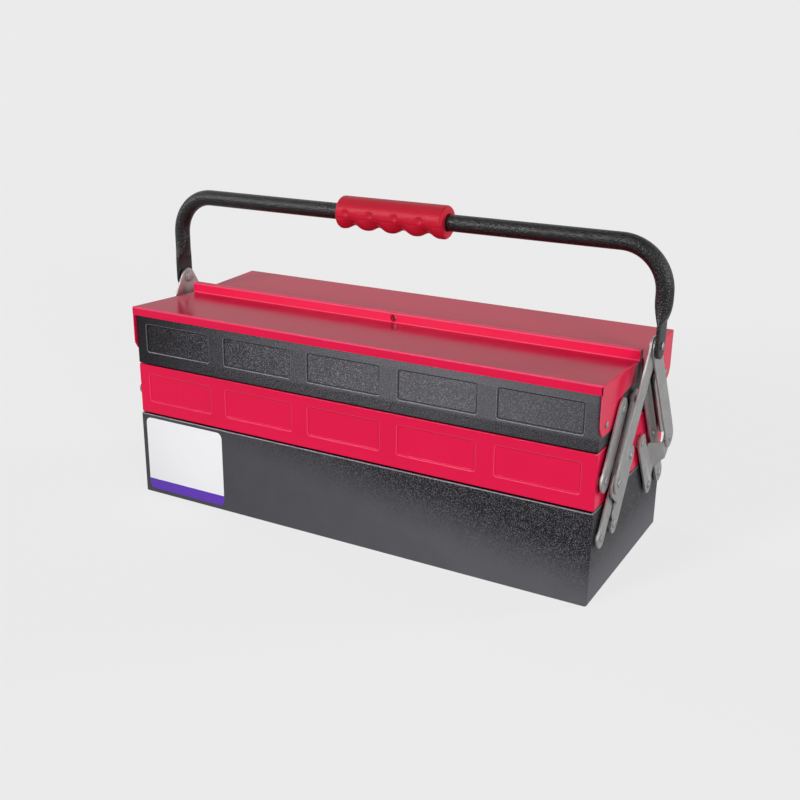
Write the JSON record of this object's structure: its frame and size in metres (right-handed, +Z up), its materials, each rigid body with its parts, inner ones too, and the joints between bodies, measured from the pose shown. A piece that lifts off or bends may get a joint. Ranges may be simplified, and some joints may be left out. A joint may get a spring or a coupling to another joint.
{
  "type": "cantilever tool box",
  "caption": "Pressed steel tool box with cantilever trays on rivetted links, twin lids and one swinging tubular carrying handle",
  "frame": {"origin": "centre of the footprint at floor level, trays shut and handle upright", "axes": "+X along the length to the right end, +Y to the rear, +Z up"},
  "size_m": [0.5826, 0.2164, 0.339],
  "materials": {
    "black_hammer": "hammer-tone black paint",
    "red_gloss": "gloss red paint",
    "handle_black": "textured black paint",
    "zinc_steel": "dull zinc plate",
    "bright_zinc": "bright zinc plate",
    "grip_red": "satin red moulding"
  },
  "bodies": {
    "box": {"body_box": "black_hammer", "body_rivets": "bright_zinc", "body_washers": "zinc_steel"},
    "front_long_arms": {"left_front_long_arm": "zinc_steel", "right_front_long_arm": "zinc_steel"},
    "front_inner_links": {"left_front_inner_link": "zinc_steel", "right_front_inner_link": "zinc_steel", "front_lug_rivets": "bright_zinc"},
    "front_outer_links": {"left_front_outer_link": "zinc_steel", "right_front_outer_link": "zinc_steel"},
    "front_middle_tray": {"front_middle_tray": "red_gloss", "front_middle_rivets": "bright_zinc", "front_middle_washers": "zinc_steel"},
    "front_top_tray": {"front_top_tray": "black_hammer", "front_top_rivets": "bright_zinc", "front_top_washers": "zinc_steel"},
    "front_lid": {"front_lid": "red_gloss"},
    "rear_long_arms": {"left_rear_long_arm": "zinc_steel", "right_rear_long_arm": "zinc_steel"},
    "rear_inner_links": {"left_rear_inner_link": "zinc_steel", "right_rear_inner_link": "zinc_steel", "rear_lug_rivets": "bright_zinc"},
    "rear_outer_links": {"left_rear_outer_link": "zinc_steel", "right_rear_outer_link": "zinc_steel"},
    "rear_middle_tray": {"rear_middle_tray": "red_gloss", "rear_middle_rivets": "bright_zinc", "rear_middle_washers": "zinc_steel"},
    "rear_top_tray": {"rear_top_tray": "black_hammer", "rear_top_rivets": "bright_zinc", "rear_top_washers": "zinc_steel"},
    "rear_lid": {"rear_lid": "red_gloss"},
    "apex_pins": {"apex_pins": "bright_zinc", "apex_washers": "zinc_steel"},
    "handle": {"handle_tube": "handle_black", "handle_grip": "grip_red"},
    "front_legs": {"left_front_leg": "zinc_steel", "right_front_leg": "zinc_steel", "front_leg_rivets": "bright_zinc"},
    "rear_legs": {"left_rear_leg": "zinc_steel", "right_rear_leg": "zinc_steel", "rear_leg_rivets": "bright_zinc"}
  },
  "joints": [
    {"name": "front_arms_swing", "type": "hinge", "parent": "box", "child": "front_long_arms", "pos_m": [0, -0.091, 0.065], "axis": [1, 0, 0], "range_deg": [0, 65.2]},
    {"name": "front_middle_tray_level", "type": "hinge", "parent": "front_long_arms", "child": "front_middle_tray", "pos_m": [0, -0.0545, 0.122], "axis": [1, 0, 0], "range_deg": [-65.3, 0]},
    {"name": "front_top_tray_level", "type": "hinge", "parent": "front_long_arms", "child": "front_top_tray", "pos_m": [0, -0.018, 0.179], "axis": [1, 0, 0], "range_deg": [-65.3, 0]},
    {"name": "front_inner_links_swing", "type": "hinge", "parent": "box", "child": "front_inner_links", "pos_m": [0, -0.0545, 0.065], "axis": [1, 0, 0], "range_deg": [0, 65.3]},
    {"name": "front_outer_links_swing", "type": "hinge", "parent": "front_middle_tray", "child": "front_outer_links", "pos_m": [0, -0.091, 0.122], "axis": [1, 0, 0], "range_deg": [0, 65.3]},
    {"name": "front_lid_hinge", "type": "hinge", "parent": "front_top_tray", "child": "front_lid", "pos_m": [0, -0.091, 0.1756], "axis": [1, 0, 0], "range_deg": [0, 110]},
    {"name": "rear_arms_swing", "type": "hinge", "parent": "box", "child": "rear_long_arms", "pos_m": [0, 0.091, 0.065], "axis": [-1, 0, 0], "range_deg": [0, 65.3]},
    {"name": "rear_middle_tray_level", "type": "hinge", "parent": "rear_long_arms", "child": "rear_middle_tray", "pos_m": [0, 0.0545, 0.122], "axis": [-1, 0, 0], "range_deg": [-65.3, 0]},
    {"name": "rear_top_tray_level", "type": "hinge", "parent": "rear_long_arms", "child": "rear_top_tray", "pos_m": [0, 0.018, 0.179], "axis": [-1, 0, 0], "range_deg": [-65.3, 0]},
    {"name": "rear_inner_links_swing", "type": "hinge", "parent": "box", "child": "rear_inner_links", "pos_m": [0, 0.0545, 0.065], "axis": [-1, 0, 0], "range_deg": [0, 65.3]},
    {"name": "rear_outer_links_swing", "type": "hinge", "parent": "rear_middle_tray", "child": "rear_outer_links", "pos_m": [0, 0.091, 0.122], "axis": [-1, 0, 0], "range_deg": [0, 65.3]},
    {"name": "rear_lid_hinge", "type": "hinge", "parent": "rear_top_tray", "child": "rear_lid", "pos_m": [0, 0.091, 0.1756], "axis": [-1, 0, 0], "range_deg": [0, 110]},
    {"name": "apex_drop", "type": "slide", "parent": "box", "child": "apex_pins", "axis": [0, 0, -1], "range_m": [0, 0.0754]},
    {"name": "front_legs_swing", "type": "hinge", "parent": "apex_pins", "child": "front_legs", "pos_m": [0, 0, 0.228], "axis": [-1, 0, 0], "range_deg": [0, 20.4]},
    {"name": "rear_legs_swing", "type": "hinge", "parent": "apex_pins", "child": "rear_legs", "pos_m": [0, 0, 0.228], "axis": [1, 0, 0], "range_deg": [0, 20.4]},
    {"name": "handle_swing", "type": "hinge", "parent": "apex_pins", "child": "handle", "pos_m": [0, 0, 0.228], "axis": [1, 0, 0], "range_deg": [-70, 70]}
  ],
  "couplings": [
    {"joint": "front_middle_tray_level", "follows": "front_arms_swing", "ratio": -1},
    {"joint": "front_top_tray_level", "follows": "front_arms_swing", "ratio": -1},
    {"joint": "front_inner_links_swing", "follows": "front_arms_swing", "ratio": 1},
    {"joint": "front_outer_links_swing", "follows": "front_arms_swing", "ratio": 1},
    {"joint": "rear_arms_swing", "follows": "front_arms_swing", "ratio": 1},
    {"joint": "rear_middle_tray_level", "follows": "front_arms_swing", "ratio": -1},
    {"joint": "rear_top_tray_level", "follows": "front_arms_swing", "ratio": -1},
    {"joint": "rear_inner_links_swing", "follows": "front_arms_swing", "ratio": 1},
    {"joint": "rear_outer_links_swing", "follows": "front_arms_swing", "ratio": 1},
    {"joint": "apex_drop", "follows": "front_arms_swing", "m_per_rad": 0.065752},
    {"joint": "front_legs_swing", "follows": "front_arms_swing", "ratio": 0.30856},
    {"joint": "rear_legs_swing", "follows": "front_arms_swing", "ratio": 0.30856}
  ]
}
